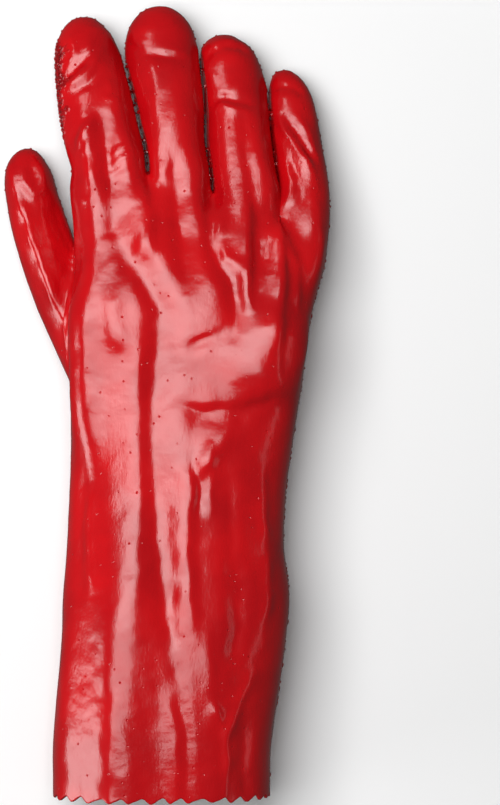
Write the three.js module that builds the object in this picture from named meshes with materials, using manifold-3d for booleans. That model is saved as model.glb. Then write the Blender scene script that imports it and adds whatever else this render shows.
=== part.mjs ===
// A right-hand work glove of PVC-coated cloth: one hollow skin with four fingers, a thumb, a hand and a
// long gauntlet, lying palm down. Millimetres. +X points to the little finger, +Y to the fingertips and +Z
// out of the back of the hand.
import * as THREE from "three";
import { mergeVertices } from "three/addons/utils/BufferGeometryUtils.js";
import Module from "manifold-3d";

const wasm = await Module();
wasm.setup();

// Driving sizes
const WALL = 1.5; // the coated cloth
const REST_DEPTH = 4; // how much of the round form is pressed flat where it rests

const GAUNTLET_LENGTH = 151.5; // cuff edge to wrist
const HAND_LENGTH = 113.5; // wrist to the webs, along the middle of the hand
const HAND_DRIFT = 15.4; // the hand's middle lies this far from the cuff's, towards the little finger
const WEB_SLANT = 0.317; // the webs step back towards the little finger: length over width
const WEB_ROUND = 18; // how far back from the webs the hand starts to close
const CLOSED_HEIGHT = 0.25; // half the height that is left where it has closed

const CUFF_WIDTH = 96;
const CUFF_HEIGHT = 66;
const WRIST_WIDTH = 97;
const WRIST_HEIGHT = 56;
const KNUCKLE_WIDTH = 112;
const KNUCKLE_HEIGHT = 42;

const INDEX_LENGTH = 67.4; // each finger from its web to its tip
const INDEX_WIDTH = 33.4;
const MIDDLE_LENGTH = 81.7;
const MIDDLE_WIDTH = 32.4;
const RING_LENGTH = 78.2;
const RING_WIDTH = 27.8;
const LITTLE_LENGTH = 70.7;
const LITTLE_WIDTH = 23;
const THUMB_LENGTH = 99; // from inside the ball of the thumb to its tip
const THUMB_WIDTH = 26;
const FINGER_THICKNESS = 26;
const TIP_ROUND = 16; // length of the rounded fingertip

const SCALLOP_PITCH = 9; // pinked cuff edge
const SCALLOP_DEPTH = 2.6;
// The disc that cuts it: inner and outer are shares of the cuff's section, and the others of the depth.
const CUTTER = { inner: 0.1, outer: 1.3, least: 0.1, swing: 0.9, length: 6 };

// How finely the skin is divided
const BODY_SIDES = 48;
const BODY_STEPS = 30;
const DIGIT_SIDES = 16;
const DIGIT_STEPS = 9;
const TIP_STEPS = 4;
const SCALLOP_STEPS = 6;
const BACK_SHARE = 0.35; // how much closer the divisions stand on the folded back than on the underside
const POLE = 0.97; // the last ring of a fingertip, as a share of the quarter turn to its pole
const EDGE_STEPS = 720; // steps of the walk round the cuff's edge
const SAME_POINT = 1e-4; // corners nearer than this are one corner
const SAME_PLANE = 0.03; // facets nearer than this to one plane are joined
const NUDGE = 0.01; // share of a digit's length over which its direction is taken

const RED_PVC = new THREE.MeshStandardMaterial({
  name: "red_pvc",
  color: new THREE.Color(0.56, 0.012, 0.018),
  roughness: 0.15,
  metalness: 0,
});

// Cross-sections of gauntlet and hand. along is 0 at the cuff, 1 at the wrist and 2 at the webs. width and
// height are shares of the named key section, lift is the share of the key height that the underside stands
// off the ground, and drift is the share of HAND_DRIFT by which the section's middle has moved over. square
// is the exponent of the rounded outline: 2 is an ellipse, and more is boxier.
const CUFF = { width: CUFF_WIDTH, height: CUFF_HEIGHT };
const WRIST = { width: WRIST_WIDTH, height: WRIST_HEIGHT };
const KNUCKLES = { width: KNUCKLE_WIDTH, height: KNUCKLE_HEIGHT };
const SECTIONS = [
  { along: 0.0, key: CUFF, width: 0.99, height: 1.0, lift: 0.0, drift: 0.0, square: 2.3 },
  { along: 0.155, key: CUFF, width: 1.0, height: 1.0, lift: 0.0, drift: 0.0, square: 2.3 },
  { along: 0.455, key: CUFF, width: 1.03, height: 0.97, lift: 0.0, drift: 0.33, square: 2.3 },
  { along: 0.585, key: CUFF, width: 1.04, height: 0.94, lift: 0.0, drift: 0.4, square: 2.35 },
  { along: 0.725, key: WRIST, width: 0.987, height: 1.06, lift: 0.0, drift: 0.377, square: 2.4 },
  { along: 0.885, key: WRIST, width: 0.983, height: 1.02, lift: 0.0, drift: 0.448, square: 2.5 },
  { along: 1.0, key: WRIST, width: 1.003, height: 1.0, lift: 0.0, drift: 0.545, square: 2.6 },
  { along: 1.282, key: KNUCKLES, width: 0.913, height: 1.26, lift: 0.02, drift: 0.672, square: 3.0 },
  { along: 1.458, key: KNUCKLES, width: 0.933, height: 1.2, lift: 0.07, drift: 0.74, square: 3.1 },
  { along: 1.605, key: KNUCKLES, width: 0.929, height: 1.11, lift: 0.13, drift: 0.87, square: 3.0 },
  { along: 1.737, key: KNUCKLES, width: 0.946, height: 1.0, lift: 0.18, drift: 0.91, square: 2.8 },
  { along: 1.837, key: KNUCKLES, width: 0.972, height: 0.87, lift: 0.22, drift: 0.948, square: 2.6 },
  { along: 2.0, key: KNUCKLES, width: 1.02, height: 0.72, lift: 0.26, drift: 1.0, square: 2.4 },
];
const DIGIT_SQUARE = 2.1; // the same exponent for fingers and thumb

// The digits. across is the root's place as a share of KNUCKLE_WIDTH from the hand's middle. Each row of
// places is a point of the middle line: along and side are shares of the digit's length, rise is the height
// over the ground and thick the thickness, both as shares of FINGER_THICKNESS, and girth is the share of the
// digit's width.
const DIGITS = [
  {
    name: "index", length: INDEX_LENGTH, width: INDEX_WIDTH, across: -0.342, from: 0,
    places: [
      { along: -0.48, side: 0.06, rise: 1.28, girth: 0.78, thick: 0.95 },
      { along: -0.22, side: 0.01, rise: 1.2, girth: 0.96, thick: 1.06 },
      { along: 0.0, side: 0.0, rise: 1.12, girth: 1.0, thick: 1.06 },
      { along: 0.206, side: -0.063, rise: 1.0, girth: 0.98, thick: 1.03 },
      { along: 0.461, side: -0.11, rise: 0.84, girth: 0.97, thick: 1.02 },
      { along: 0.683, side: -0.156, rise: 0.67, girth: 0.87, thick: 0.96 },
      { along: 0.886, side: -0.172, rise: 0.5, girth: 0.78, thick: 0.9 },
      { along: 1.0, side: -0.163, rise: 0.42, girth: 0.75, thick: 0.86 },
    ],
  },
  {
    name: "middle", length: MIDDLE_LENGTH, width: MIDDLE_WIDTH, across: -0.075, from: 0,
    places: [
      { along: -0.36, side: 0.02, rise: 1.26, girth: 0.72, thick: 0.95 },
      { along: 0.0, side: 0.0, rise: 1.12, girth: 0.86, thick: 1.03 },
      { along: 0.226, side: -0.03, rise: 1.02, girth: 0.8, thick: 1.0 },
      { along: 0.415, side: -0.043, rise: 0.9, girth: 0.86, thick: 1.0 },
      { along: 0.62, side: -0.08, rise: 0.74, girth: 0.95, thick: 0.98 },
      { along: 0.8, side: -0.1, rise: 0.57, girth: 0.95, thick: 0.94 },
      { along: 1.0, side: -0.11, rise: 0.42, girth: 0.86, thick: 0.88 },
    ],
  },
  {
    name: "ring", length: RING_LENGTH, width: RING_WIDTH, across: 0.18, from: 0,
    places: [
      { along: -0.38, side: -0.02, rise: 1.22, girth: 0.8, thick: 0.95 },
      { along: 0.0, side: 0.0, rise: 1.06, girth: 0.97, thick: 1.0 },
      { along: 0.44, side: -0.034, rise: 0.86, girth: 0.94, thick: 0.98 },
      { along: 0.593, side: -0.046, rise: 0.74, girth: 0.94, thick: 0.97 },
      { along: 0.757, side: -0.071, rise: 0.6, girth: 0.96, thick: 0.93 },
      { along: 0.915, side: -0.113, rise: 0.46, girth: 0.94, thick: 0.88 },
      { along: 1.0, side: -0.124, rise: 0.4, girth: 0.9, thick: 0.84 },
    ],
  },
  {
    name: "little", length: LITTLE_LENGTH, width: LITTLE_WIDTH, across: 0.416, from: 0,
    places: [
      { along: -0.45, side: -0.1, rise: 1.12, girth: 0.84, thick: 0.9 },
      { along: -0.2, side: -0.03, rise: 1.04, girth: 0.98, thick: 0.94 },
      { along: 0.0, side: 0.0, rise: 0.95, girth: 1.0, thick: 0.94 },
      { along: 0.228, side: 0.006, rise: 0.83, girth: 0.98, thick: 0.92 },
      { along: 0.545, side: -0.038, rise: 0.64, girth: 0.96, thick: 0.88 },
      { along: 0.707, side: -0.06, rise: 0.54, girth: 0.93, thick: 0.84 },
      { along: 0.881, side: -0.1, rise: 0.43, girth: 0.86, thick: 0.8 },
      { along: 1.0, side: -0.149, rise: 0.38, girth: 0.8, thick: 0.76 },
    ],
  },
  {
    name: "thumb", length: THUMB_LENGTH, width: THUMB_WIDTH, across: -0.381, from: -0.685,
    places: [
      { along: -0.12, side: 0.06, rise: 0.74, girth: 1.0, thick: 0.9 },
      { along: 0.0, side: 0.0, rise: 0.64, girth: 1.12, thick: 1.02 },
      { along: 0.213, side: -0.105, rise: 0.54, girth: 1.08, thick: 1.02 },
      { along: 0.359, side: -0.178, rise: 0.5, girth: 1.02, thick: 1.02 },
      { along: 0.608, side: -0.265, rise: 0.48, girth: 0.97, thick: 0.96 },
      { along: 0.785, side: -0.313, rise: 0.45, girth: 0.88, thick: 0.9 },
      { along: 0.9, side: -0.334, rise: 0.43, girth: 0.82, thick: 0.86 },
      { along: 1.0, side: -0.333, rise: 0.4, girth: 0.78, thick: 0.82 },
    ],
  },
];

// Folds in the back of the glove. path is the places that a fold runs through, each across, as a share of
// the half width there, and along, as in SECTIONS. wide is the half width as a share of KNUCKLE_WIDTH and
// deep the depth as a share of KNUCKLE_HEIGHT, where a negative depth is a ridge.
const FOLDS = [
  {
    name: "long valley", wide: 0.04, deep: 0.065,
    path: [[-0.71, 1.76], [-0.44, 1.6], [-0.31, 1.47], [-0.31, 1.06], [-0.24, 0.79], [-0.17, 0.57]],
  },
  { name: "shoulder ridge", path: [[-0.86, 1.73], [-0.84, 1.06]], wide: 0.055, deep: -0.04 },
  { name: "back ridge", path: [[-0.4, 1.45], [-0.39, 1.02], [-0.3, 0.57]], wide: 0.042, deep: -0.035 },
  { name: "gauntlet ridge", path: [[0.38, 1.1], [0.12, 0.87], [0.16, 0.47]], wide: 0.045, deep: -0.04 },
  { name: "index knuckle", path: [[-0.46, 1.98], [-0.37, 1.71]], wide: 0.046, deep: -0.045 },
  {
    name: "index and middle valley", wide: 0.045, deep: 0.055,
    path: [[-0.32, 1.97], [-0.2, 1.86], [-0.14, 1.63]],
  },
  { name: "middle knuckle", path: [[-0.02, 2.0], [0.04, 1.77]], wide: 0.04, deep: -0.045 },
  {
    name: "middle and ring valley", wide: 0.034, deep: 0.06,
    path: [[0.08, 1.99], [0.13, 1.79], [0.26, 1.63], [0.33, 1.45]],
  },
  { name: "ring knuckle", path: [[0.56, 2.0], [0.67, 1.85], [0.64, 1.52]], wide: 0.034, deep: -0.04 },
  {
    name: "ring and little valley", wide: 0.034, deep: 0.05,
    path: [[0.68, 1.98], [0.77, 1.74], [0.8, 1.32]],
  },
  { name: "small crease", path: [[-0.01, 1.41], [0.34, 1.5]], wide: 0.025, deep: 0.035 },
  { name: "wrist crease", path: [[-0.07, 1.18], [0.42, 1.18], [0.68, 1.22]], wide: 0.034, deep: 0.048 },
  { name: "cuff ridge", path: [[-0.41, 0.47], [-0.38, -0.05]], wide: 0.032, deep: -0.035 },
  { name: "inner cuff ridge", path: [[0.2, 0.44], [0.34, -0.05]], wide: 0.028, deep: -0.03 },
  { name: "cuff shelf", path: [[-0.75, 0.41], [-0.67, -0.05]], wide: 0.062, deep: -0.05 },
  { name: "cuff valley", path: [[-0.58, 0.58], [-0.53, -0.05]], wide: 0.034, deep: 0.045 },
  { name: "outer cuff ridge", path: [[0.31, 0.47], [0.5, -0.05]], wide: 0.028, deep: -0.032 },
  { name: "side ridge", path: [[0.77, 0.93], [0.8, 0.52]], wide: 0.028, deep: -0.03 },
  { name: "forked fold", path: [[0.75, 0.37], [0.6, 0.19], [0.59, -0.05]], wide: 0.028, deep: -0.032 },
];
const FOLD_ROOT = 0.8; // share of the half height at which the folds reach their full depth

const WEB_Y = GAUNTLET_LENGTH + HAND_LENGTH;

// Catmull-Rom value at x of a column ys over rising xs.
function follow(xs, ys, x) {
  const i = Math.max(0, Math.min(xs.length - 2, xs.findIndex((v) => v > x) - 1));
  const last = x >= xs[xs.length - 1] ? xs.length - 2 : i;
  const [a, b] = [Math.max(last - 1, 0), Math.min(last + 2, xs.length - 1)];
  const span = xs[last + 1] - xs[last];
  const t = THREE.MathUtils.clamp((x - xs[last]) / span, 0, 1);
  const m0 = ((ys[last + 1] - ys[a]) / (xs[last + 1] - xs[a])) * span;
  const m1 = ((ys[b] - ys[last]) / (xs[b] - xs[last])) * span;
  const [t2, t3] = [t * t, t * t * t];
  return (2 * t3 - 3 * t2 + 1) * ys[last] + (t3 - 2 * t2 + t) * m0
    + (3 * t2 - 2 * t3) * ys[last + 1] + (t3 - t2) * m1;
}

// Distance from the cuff for an along of the tables.
function lengthAt(along) {
  return Math.min(along, 1) * GAUNTLET_LENGTH + Math.max(along - 1, 0) * HAND_LENGTH;
}

const SECTION_Y = SECTIONS.map((s) => lengthAt(s.along));
const COLUMNS = {
  halfWidth: SECTIONS.map((s) => (s.width * s.key.width) / 2),
  top: SECTIONS.map((s) => (s.lift + s.height) * s.key.height),
  bottom: SECTIONS.map((s) => s.lift * s.key.height - REST_DEPTH),
  middle: SECTIONS.map((s) => s.drift * HAND_DRIFT),
  square: SECTIONS.map((s) => s.square),
};

// The cross-section at y, closing to an edge at the webs. inset is the wall's offset from the outer face.
function sectionAt(y, inset) {
  const at = Object.fromEntries(Object.entries(COLUMNS).map(([name, c]) => [name, follow(SECTION_Y, c, y)]));
  const closed = THREE.MathUtils.clamp((y - (WEB_Y - inset - WEB_ROUND)) / WEB_ROUND, 0, 1);
  const open = Math.sqrt(1 - closed * closed);
  return {
    middle: at.middle,
    square: at.square,
    centre: (at.top + at.bottom) / 2,
    halfWidth: at.halfWidth - inset - (1 - open) * WEB_ROUND,
    halfHeight: Math.max(((at.top - at.bottom) / 2 - inset) * open, CLOSED_HEIGHT),
  };
}

// Distance in plan from p to the stretch between a and b.
function distanceToStretch(p, a, b) {
  const run = b.clone().sub(a);
  const off = p.clone().sub(a);
  const share = THREE.MathUtils.clamp(off.dot(run) / run.lengthSq(), 0, 1);
  return off.sub(run.multiplyScalar(share)).length();
}

// Depth of the folds at a place on the back, in millimetres.
function foldDepth(across, y, halfWidth) {
  const p = new THREE.Vector2(across * halfWidth, y);
  return FOLDS.reduce((depth, fold) => {
    const path = fold.path.map(([side, along]) => new THREE.Vector2(side * halfWidth, lengthAt(along)));
    const off = Math.min(...path.slice(1).map((end, i) => distanceToStretch(p, path[i], end)));
    return depth + fold.deep * KNUCKLE_HEIGHT * Math.exp(-((off / (fold.wide * KNUCKLE_WIDTH)) ** 2));
  }, 0);
}

// A closed solid skinned over rings of points, with a flat cap on each end ring.
function skin(rings) {
  const sides = rings[0].length;
  const points = rings.flat();
  const index = [];
  for (let r = 0; r + 1 < rings.length; r++) {
    for (let i = 0; i < sides; i++) {
      const [a, b] = [r * sides + i, r * sides + ((i + 1) % sides)];
      index.push(a, b + sides, b, a, a + sides, b + sides);
    }
  }
  for (const [ring, flip] of [[0, true], [rings.length - 1, false]]) {
    const centre = rings[ring].reduce((sum, p) => sum.add(p), new THREE.Vector3()).divideScalar(sides);
    points.push(centre);
    for (let i = 0; i < sides; i++) {
      const [a, b] = [ring * sides + i, ring * sides + ((i + 1) % sides)];
      index.push(...(flip ? [points.length - 1, a, b] : [points.length - 1, b, a]));
    }
  }
  return solidOf(points, index);
}

function solidOf(points, index) {
  const geometry = new THREE.BufferGeometry().setFromPoints(points).setIndex(index);
  const merged = mergeVertices(geometry, SAME_POINT);
  return new wasm.Manifold(
    new wasm.Mesh({
      numProp: 3,
      vertProperties: merged.attributes.position.array,
      triVerts: new Uint32Array(merged.index.array),
    }),
  );
}

// A point of a section's outline at angle a, as shares of its half width and half height.
function outline(a, square) {
  const bend = (v) => Math.sign(v) * Math.abs(v) ** (2 / square);
  return [bend(Math.cos(a)), bend(Math.sin(a))];
}

// Gauntlet and hand as one closed form. inset 0 is the outer face, inset WALL the inner one, which starts early
// so that it cuts the cuff open.
function body(inset) {
  const start = inset ? -2 * SCALLOP_DEPTH : 0;
  const end = WEB_Y - inset;
  const round = end - WEB_ROUND;
  const stations = Array.from({ length: BODY_STEPS }, (_, i) => start + ((round - start) * i) / BODY_STEPS);
  for (let i = 0; i <= TIP_STEPS; i++) {
    stations.push(round + WEB_ROUND * Math.sin((Math.PI / 2) * (i / TIP_STEPS)));
  }
  return skin(stations.map((station) => {
    const s = sectionAt(Math.max(station, 0), inset);
    const slant = WEB_SLANT * THREE.MathUtils.smoothstep(station, GAUNTLET_LENGTH, WEB_Y);
    return Array.from({ length: BODY_SIDES }, (_, i) => {
      const turn = (2 * Math.PI * i) / BODY_SIDES;
      const [u, v] = outline(turn + BACK_SHARE * Math.cos(turn), s.square);
      const fold = foldDepth(u, station, s.halfWidth) * THREE.MathUtils.smoothstep(v, 0, FOLD_ROOT);
      const z = Math.max(s.centre + v * s.halfHeight - fold, inset);
      return new THREE.Vector3(s.middle + u * s.halfWidth, station - slant * u * s.halfWidth, z);
    });
  }));
}

// A finger or thumb as one closed form, from inside the hand to its tip.
function digit(d, inset) {
  const column = (name) => d.places.map((p) => p[name]);
  const along = column("along");
  const at = (name, t) => follow(along, column(name), t);
  const rootX = HAND_DRIFT + d.across * KNUCKLE_WIDTH;
  const rootY = d.from ? WEB_Y + d.from * HAND_LENGTH : WEB_Y - WEB_SLANT * d.across * KNUCKLE_WIDTH;
  const middle = (t) => new THREE.Vector3(
    rootX + at("side", t) * d.length,
    rootY + t * d.length,
    at("rise", t) * FINGER_THICKNESS,
  );
  const end = 1 - inset / d.length;
  const round = TIP_ROUND / d.length;
  const stations = Array.from(
    { length: DIGIT_STEPS },
    (_, i) => along[0] + ((end - round - along[0]) * i) / DIGIT_STEPS,
  );
  for (let i = 0; i <= TIP_STEPS; i++) {
    stations.push(end - round + round * Math.sin((Math.PI / 2) * Math.min(i / TIP_STEPS, POLE)));
  }
  return skin(stations.map((t) => {
    const tangent = middle(t + NUDGE).sub(middle(t - NUDGE)).normalize();
    const across = new THREE.Vector3().crossVectors(tangent, new THREE.Vector3(0, 0, 1)).normalize();
    const up = new THREE.Vector3().crossVectors(across, tangent);
    const closed = THREE.MathUtils.clamp((t - (end - round)) / round, 0, 1);
    const open = Math.sqrt(1 - closed * closed);
    const halfWidth = ((at("girth", t) * d.width) / 2 - inset) * open;
    const halfHeight = ((at("thick", t) * FINGER_THICKNESS) / 2 - inset) * open;
    return Array.from({ length: DIGIT_SIDES }, (_, i) => {
      const [u, v] = outline((2 * Math.PI * i) / DIGIT_SIDES, DIGIT_SQUARE);
      const p = middle(t).addScaledVector(across, u * halfWidth).addScaledVector(up, v * halfHeight);
      p.z = Math.max(p.z, inset);
      return p;
    });
  }));
}

// A wavy disc that trims the cuff to scallops: its face rises and falls with the distance round the edge.
function scallopCutter() {
  const s = sectionAt(0, 0);
  const edge = Array.from({ length: EDGE_STEPS + 1 }, (_, i) => {
    const [u, v] = outline((2 * Math.PI * i) / EDGE_STEPS, s.square);
    return new THREE.Vector3(u * s.halfWidth, 0, v * s.halfHeight);
  });
  const walked = [0];
  for (let i = 1; i <= EDGE_STEPS; i++) {
    walked.push(walked[i - 1] + edge[i].distanceTo(edge[i - 1]));
  }
  const count = Math.round(walked[EDGE_STEPS] / SCALLOP_PITCH);
  const points = count * SCALLOP_STEPS;
  const centre = new THREE.Vector3(s.middle, 0, s.centre);
  const ring = (reach, y) => Array.from({ length: points }, (_, i) => {
    const wanted = (walked[EDGE_STEPS] * i) / points;
    const j = walked.findIndex((distance) => distance >= wanted);
    return centre.clone().addScaledVector(edge[j], reach).setY(y(i));
  });
  const trough = CUTTER.least * SCALLOP_DEPTH;
  const swing = (SCALLOP_DEPTH * CUTTER.swing) / 2;
  const wave = (i) => trough + swing * (1 - Math.cos((2 * Math.PI * i) / SCALLOP_STEPS));
  const below = () => -CUTTER.length * SCALLOP_DEPTH;
  return skin([
    ring(CUTTER.inner, below),
    ring(CUTTER.outer, below),
    ring(CUTTER.outer, wave),
    ring(CUTTER.inner, wave),
  ]);
}

function glove(inset) {
  return DIGITS.reduce((form, d) => form.add(digit(d, inset)), body(inset));
}

// The coated cloth between the outer face and the inner one, without slivers sealed in the wall at the webs.
const cut = glove(0).subtract(glove(WALL)).subtract(scallopCutter());
const bodies = cut.asOriginal().simplify(SAME_PLANE).decompose();
const shell = bodies.reduce((largest, one) => (one.volume() > largest.volume() ? one : largest));

function meshOf(solid) {
  const { vertProperties, triVerts } = solid.getMesh();
  return new THREE.BufferGeometry()
    .setAttribute("position", new THREE.BufferAttribute(vertProperties, 3))
    .setIndex(new THREE.BufferAttribute(triVerts, 1));
}

const gloveShell = new THREE.Mesh(meshOf(shell), RED_PVC);
gloveShell.name = "glove_shell";

// The origin is the middle of the glove's footprint.
const extent = new THREE.Box3().setFromObject(gloveShell);
gloveShell.position.set(-(extent.min.x + extent.max.x) / 2, -(extent.min.y + extent.max.y) / 2, -extent.min.z);

const group = new THREE.Group();
group.add(gloveShell);

export default group;
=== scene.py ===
import math

import bpy
import numpy as np
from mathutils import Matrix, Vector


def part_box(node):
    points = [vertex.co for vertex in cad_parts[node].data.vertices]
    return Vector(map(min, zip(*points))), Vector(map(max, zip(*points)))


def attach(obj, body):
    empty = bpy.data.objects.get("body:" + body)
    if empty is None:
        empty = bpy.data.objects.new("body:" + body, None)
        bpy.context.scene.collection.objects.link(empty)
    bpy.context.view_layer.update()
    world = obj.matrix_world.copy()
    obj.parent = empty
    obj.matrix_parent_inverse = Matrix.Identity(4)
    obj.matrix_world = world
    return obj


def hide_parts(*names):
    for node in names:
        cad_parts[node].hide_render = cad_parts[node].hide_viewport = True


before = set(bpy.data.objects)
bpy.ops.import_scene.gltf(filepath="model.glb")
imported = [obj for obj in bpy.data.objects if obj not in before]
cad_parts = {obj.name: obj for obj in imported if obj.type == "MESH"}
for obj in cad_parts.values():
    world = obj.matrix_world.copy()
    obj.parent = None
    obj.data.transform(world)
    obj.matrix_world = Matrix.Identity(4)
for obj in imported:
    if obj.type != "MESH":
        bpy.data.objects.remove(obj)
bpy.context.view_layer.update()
CAD_LOW, CAD_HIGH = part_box("glove_shell")
MM = 0.001

# Camera: straight above, the fingers to the top of the picture.
PICTURE_MM = 0.44  # one pixel of the picture at the height below
PICTURE_HALF = 402.5  # half the picture's height, in pixels
SIGHT_HEIGHT = 0.031
LENS, HALF_SENSOR = 180, 18
cam_data = bpy.data.cameras.new("camera")
cam_data.lens = LENS
camera = bpy.data.objects.new("camera", cam_data)
bpy.context.scene.collection.objects.link(camera)
distance = PICTURE_HALF * PICTURE_MM * MM / (HALF_SENSOR / LENS)
camera.location = (0.0369, -0.0015, SIGHT_HEIGHT + distance)
camera.rotation_euler = (0, 0, 0)
bpy.context.scene.camera = camera

# Sizes in millimetres, in plan: x from the cuff's middle, y from the cuff's edge, z up.
WALL = 1.5
EDGE_ROUND = 0.25
REST_DEPTH = 4
FLOOR_GAP = 0.7  # room under the skin for the chips
FINGER_GAP = 0.75  # half the least room between two fingers
GAUNTLET_LENGTH = 151.5
HAND_LENGTH = 113.5
WEB_Y = GAUNTLET_LENGTH + HAND_LENGTH
HAND_DRIFT = 15.4
WEB_SLANT = 0.317
WEB_ROUND = 18
CUFF = (96, 66)
WRIST = (97, 56)
KNUCKLES = (112, 42)
FINGER_THICKNESS = 26
TIP_ROUND = 16
SCALLOP_PITCH = 9
SCALLOP_DEPTH = 2.1
EDGE_MIDDLE = 1.3  # the level that the scallops swing about
DIGIT_SQUARE = 2.1
SIDE_SWELL = 0.15  # how much the lower half of a finger widens towards its neighbours

# along, key section, width, height, lift, drift, squareness
SECTIONS = [
    (0.0, CUFF, 0.99, 1.0, 0.0, 0.0, 2.3),
    (0.155, CUFF, 1.0, 1.0, 0.0, 0.0, 2.3),
    (0.455, CUFF, 1.03, 0.97, 0.0, 0.33, 2.3),
    (0.585, CUFF, 1.04, 0.94, 0.0, 0.4, 2.35),
    (0.725, WRIST, 0.987, 1.06, 0.0, 0.377, 2.4),
    (0.885, WRIST, 0.983, 1.02, 0.0, 0.448, 2.5),
    (1.0, WRIST, 1.003, 1.0, 0.0, 0.545, 2.6),
    (1.282, KNUCKLES, 0.913, 1.26, 0.02, 0.672, 3.0),
    (1.458, KNUCKLES, 0.933, 1.2, 0.07, 0.74, 3.1),
    (1.605, KNUCKLES, 0.929, 1.11, 0.13, 0.87, 3.0),
    (1.737, KNUCKLES, 0.946, 1.0, 0.18, 0.91, 2.8),
    (1.837, KNUCKLES, 0.972, 0.87, 0.22, 0.948, 2.6),
    (2.0, KNUCKLES, 1.02, 0.72, 0.26, 1.0, 2.4),
]
# name, length, width, across, start, then rows of along, side, rise, girth, thick
DIGITS = [
    ("index", 67.4, 33.4, -0.342, 0, [
        (-0.48, 0.06, 1.28, 0.78, 0.95), (-0.22, 0.01, 1.2, 0.96, 1.06), (0.0, 0.0, 1.12, 1.0, 1.06),
        (0.206, -0.063, 1.0, 0.98, 1.03), (0.461, -0.11, 0.84, 0.97, 1.02), (0.683, -0.156, 0.67, 0.87, 0.96),
        (0.886, -0.172, 0.5, 0.78, 0.9), (1.0, -0.163, 0.42, 0.75, 0.86)]),
    ("middle", 81.7, 32.4, -0.075, 0, [
        (-0.36, 0.02, 1.26, 0.72, 0.95), (0.0, 0.0, 1.12, 0.86, 1.03), (0.226, -0.03, 1.02, 0.8, 1.0),
        (0.415, -0.043, 0.9, 0.86, 1.0), (0.62, -0.08, 0.74, 0.95, 0.98), (0.8, -0.1, 0.57, 0.95, 0.94),
        (1.0, -0.11, 0.42, 0.86, 0.88)]),
    ("ring", 78.2, 27.8, 0.18, 0, [
        (-0.38, -0.02, 1.22, 0.8, 0.95), (0.0, 0.0, 1.06, 0.97, 1.0), (0.44, -0.034, 0.86, 0.94, 0.98),
        (0.593, -0.046, 0.74, 0.94, 0.97), (0.757, -0.071, 0.6, 0.96, 0.93), (0.915, -0.113, 0.46, 0.94, 0.88),
        (1.0, -0.124, 0.4, 0.9, 0.84)]),
    ("little", 70.7, 23, 0.416, 0, [
        (-0.45, -0.1, 1.12, 0.84, 0.9), (-0.2, -0.03, 1.04, 0.98, 0.94), (0.0, 0.0, 0.95, 1.0, 0.94),
        (0.228, 0.006, 0.83, 0.98, 0.92), (0.545, -0.038, 0.64, 0.96, 0.88), (0.707, -0.06, 0.54, 0.93, 0.84),
        (0.881, -0.1, 0.43, 0.86, 0.8), (1.0, -0.149, 0.38, 0.8, 0.76)]),
    ("thumb", 99, 26, -0.381, -0.685, [
        (-0.12, 0.06, 0.74, 1.0, 0.9), (0.0, 0.0, 0.64, 1.12, 1.02), (0.213, -0.105, 0.54, 1.08, 1.02),
        (0.359, -0.178, 0.5, 1.02, 1.0), (0.608, -0.265, 0.48, 0.97, 0.96), (0.785, -0.313, 0.45, 0.88, 0.9),
        (0.9, -0.334, 0.43, 0.82, 0.86), (1.0, -0.333, 0.4, 0.78, 0.82)]),
]

STEP = 1.28  # spacing of the outer skin's points
INNER_STEP = 3.2
CUFF_BAND = 9  # the skin below this is laid in rings, to carry the scalloped edge
CUFF_SIDES = 560
BARE_STRIP = 22  # smooth underside of the gauntlet along its thumb side
CHIP_SPACING = 1.75
GAUNTLET_CHIP = 2.6
FINGER_CHIP = 1.7
CHIP_THICKNESS = 1.0
CHIP_FLOOR = 0.05  # no chip reaches lower than this
CHIP_DENSITY = 400000  # to a square metre, before the spacing thins them out
WRIST_PLACE = -50  # chips nearer the cuff than this place are all of the gauntlet's size

# The grid that the skin is found on, and the fillets where its forms meet.
GRID_LOW, GRID_HIGH = (-76.0, CUFF_BAND, -3.0), (80.0, 354.0, 71.0)
FAR = 14.0  # distances beyond this aren't told apart
WEB_FILLET, THUMB_FILLET, FLOOR_FILLET = 5.0, 2.5, 1.5
ROOT_ROUND = 8.0


def smooth(x, low, high):
    """Nought below low, one above high, and a soft step between them."""
    t = np.clip((x - low) / (high - low), 0, 1)
    return t * t * (3 - 2 * t)


def follow(xs, ys, x):
    """Catmull-Rom value at x of a column ys over rising xs."""
    xs, ys = np.asarray(xs, float), np.asarray(ys, float)
    i = np.clip(np.searchsorted(xs, x, side="right") - 1, 0, len(xs) - 2)
    a, b = np.maximum(i - 1, 0), np.minimum(i + 2, len(xs) - 1)
    span = xs[i + 1] - xs[i]
    t = np.clip((x - xs[i]) / span, 0, 1)
    m0 = (ys[i + 1] - ys[a]) / (xs[i + 1] - xs[a]) * span
    m1 = (ys[b] - ys[i]) / (xs[b] - xs[i]) * span
    t2, t3 = t * t, t * t * t
    return (2 * t3 - 3 * t2 + 1) * ys[i] + (t3 - 2 * t2 + t) * m0 + (3 * t2 - 2 * t3) * ys[i + 1] + (t3 - t2) * m1


SECTION_Y = [min(s[0], 1) * GAUNTLET_LENGTH + max(s[0] - 1, 0) * HAND_LENGTH for s in SECTIONS]
HALF_WIDTH = [s[2] * s[1][0] / 2 for s in SECTIONS]
TOP = [(s[4] + s[3]) * s[1][1] for s in SECTIONS]
BOTTOM = [s[4] * s[1][1] - REST_DEPTH for s in SECTIONS]
MIDDLE = [s[5] * HAND_DRIFT for s in SECTIONS]
SQUARE = [s[6] for s in SECTIONS]


def station(x, y):
    """Where along the hand a plan point lies: the sections turn to the slant of the webs."""
    t = y.copy()
    for _ in range(6):
        t = y + WEB_SLANT * smooth(t, GAUNTLET_LENGTH, WEB_Y) * (x - follow(SECTION_Y, MIDDLE, t))
    return t


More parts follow.
